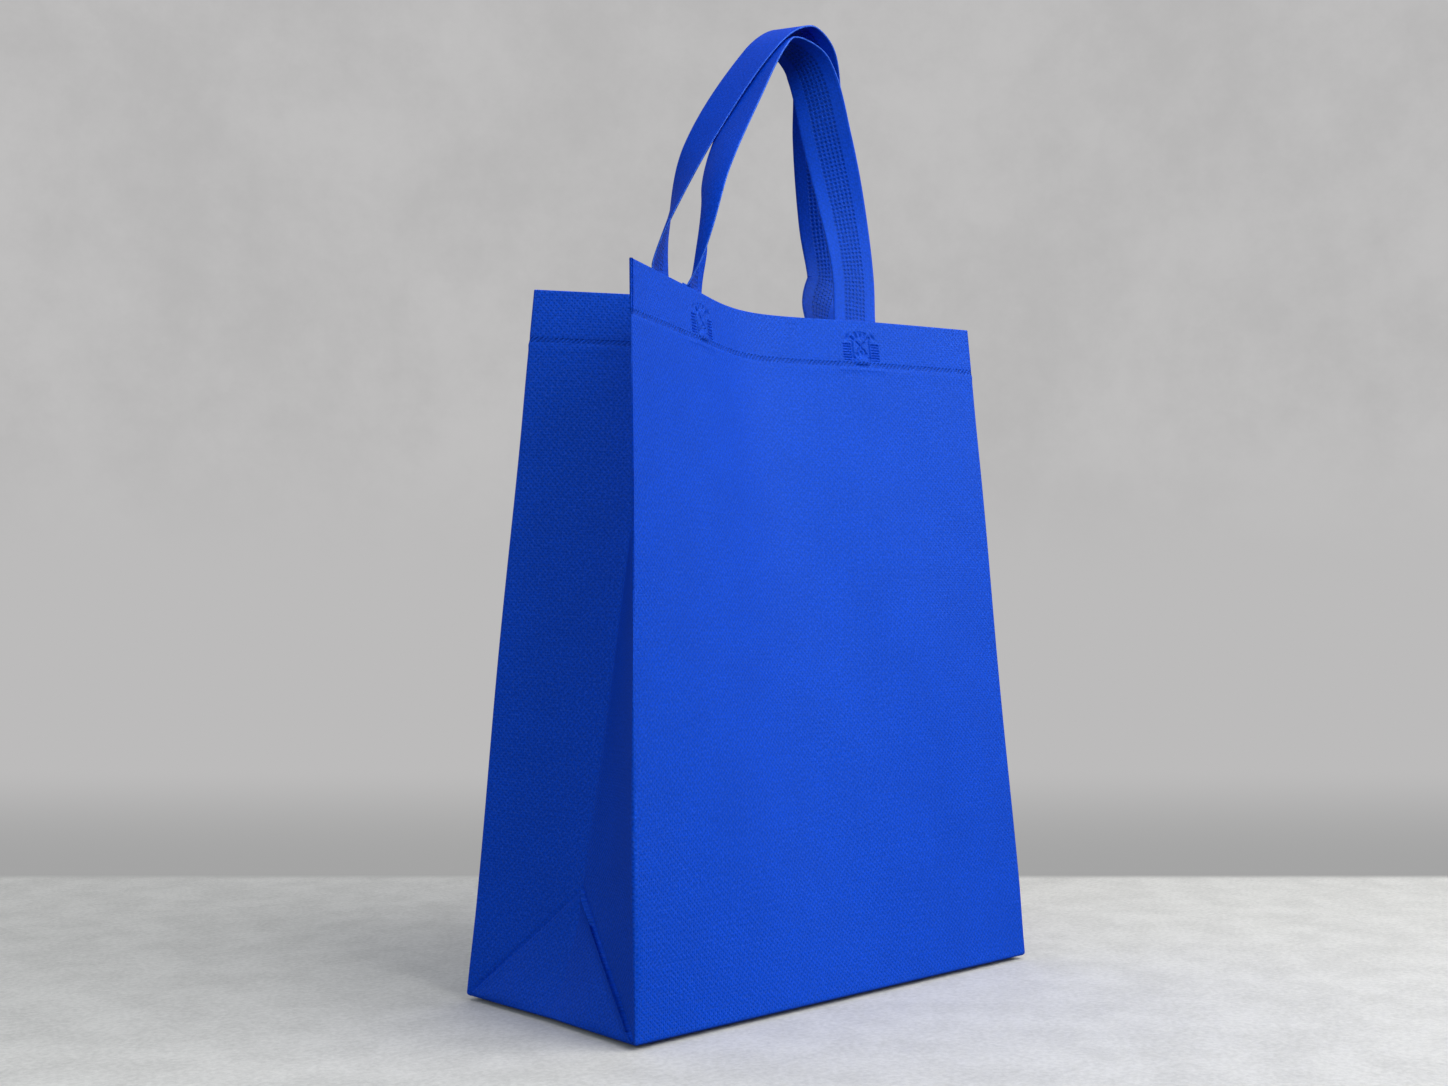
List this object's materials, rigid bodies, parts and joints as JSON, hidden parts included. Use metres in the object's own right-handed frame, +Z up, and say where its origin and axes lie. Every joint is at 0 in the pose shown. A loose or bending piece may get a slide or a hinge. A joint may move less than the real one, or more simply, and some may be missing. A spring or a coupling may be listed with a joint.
{
  "type": "carrier bag",
  "caption": "Blue non-woven carrier bag with a block bottom, folded side gussets, a welded hem and flat strap handles, standing open and empty.",
  "frame": {"origin": "centre of the flat bottom, on the surface that the bag stands on", "axes": "+X along the wide panels, -Y out of the front panel, +Z up to the mouth and the handles"},
  "size_m": [0.32, 0.15, 0.581],
  "materials": {
    "bag_fabric": "satin spun-bonded polypropylene with a fine embossed lattice",
    "strap_fabric": "folded satin spun-bonded polypropylene with rows of weld dots"
  },
  "bodies": {
    "root": {"bag_body": "bag_fabric", "handle_front": "strap_fabric", "handle_back": "strap_fabric"}
  },
  "joints": []
}
